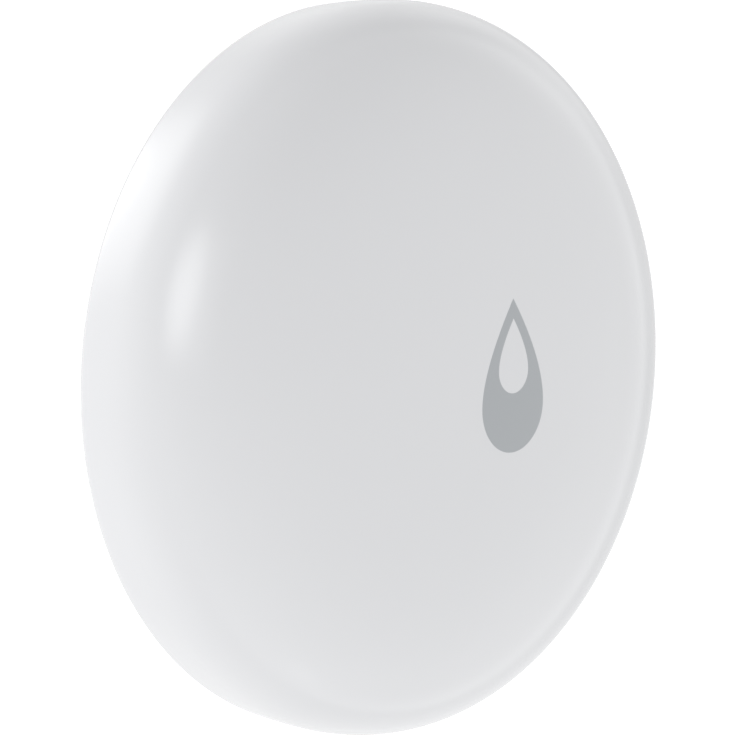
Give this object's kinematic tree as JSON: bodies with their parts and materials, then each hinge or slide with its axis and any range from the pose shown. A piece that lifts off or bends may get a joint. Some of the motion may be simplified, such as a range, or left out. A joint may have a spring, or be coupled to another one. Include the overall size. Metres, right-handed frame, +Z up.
{
  "type": "water leak sensor",
  "caption": "Round battery-powered water leak sensor: glossy domed shell with a drop symbol over a sealed base that stands on metal probe heads.",
  "frame": {"origin": "on the sensor's axis at floor level, under the probe heads and feet", "axes": "+Z up through the middle of the domed shell; +Y towards the point of the drop symbol; the probes lie on the X axis"},
  "size_m": [0.05, 0.05, 0.015],
  "materials": {
    "shell_white": "gloss moulded",
    "symbol_grey": "satin print",
    "base_white": "fine spark-eroded texture",
    "seal_rubber": "soft silicone",
    "steel": "plain stamped or plated",
    "probe_steel": "stainless, lightly turned",
    "brass": "turned",
    "copper": "stamped contact sheet",
    "board_green": "solder mask",
    "black_plastic": "moulded",
    "led_lens": "clear resin over white",
    "tantalum_yellow": "moulded",
    "component_ceramic": "fired ceramic"
  },
  "bodies": {
    "base": {"base_plate": "base_white", "case_seal": "seal_rubber", "cell_can": "steel", "cell_gasket": "black_plastic", "cell_cap": "steel", "probe_screw_left": "probe_steel", "probe_screw_right": "probe_steel", "probe_seal_left": "seal_rubber", "probe_seal_right": "seal_rubber", "probe_pillar_left": "brass", "probe_pillar_right": "brass", "circuit_board": "board_green", "board_screws": "steel", "switch_body": "black_plastic", "switch_frame": "steel", "switch_dome": "steel", "radio_board": "board_green", "radio_chip": "black_plastic", "radio_shield": "steel", "antenna": "copper", "control_chip": "black_plastic", "crystal": "steel", "status_led": "led_lens", "capacitor": "tantalum_yellow", "chip_components": "component_ceramic", "negative_contact": "copper", "positive_clip": "copper"},
    "shell": {"top_cover": "shell_white", "drop_symbol": "symbol_grey"},
    "switch_button": {"switch_plunger": "black_plastic"},
    "cover_seal": {"battery_cover_seal": "seal_rubber"},
    "battery_door": {"battery_cover": "base_white"}
  },
  "joints": [
    {"name": "cover_press", "type": "slide", "parent": "base", "child": "shell", "axis": [0, 0, -1], "range_m": [0, 0.00025], "stiffness_N_per_m": 6400},
    {"name": "switch_press", "type": "slide", "parent": "base", "child": "switch_button", "axis": [0, 0, -1], "range_m": [0, 0.00025], "deforming": ["switch_dome"]},
    {"name": "battery_cover_lift", "type": "slide", "parent": "base", "child": "cover_seal", "axis": [0, 0, -1], "range_m": [0, 0.006]},
    {"name": "battery_cover_turn", "type": "hinge", "parent": "cover_seal", "child": "battery_door", "pos_m": [0, 0, 0.0005], "axis": [0, 0, -1], "range_deg": [0, 180]}
  ],
  "couplings": [
    {"joint": "switch_press", "follows": "cover_press", "ratio": 1},
    {"joint": "battery_cover_turn", "follows": "battery_cover_lift", "rad_per_m": 523.6}
  ]
}
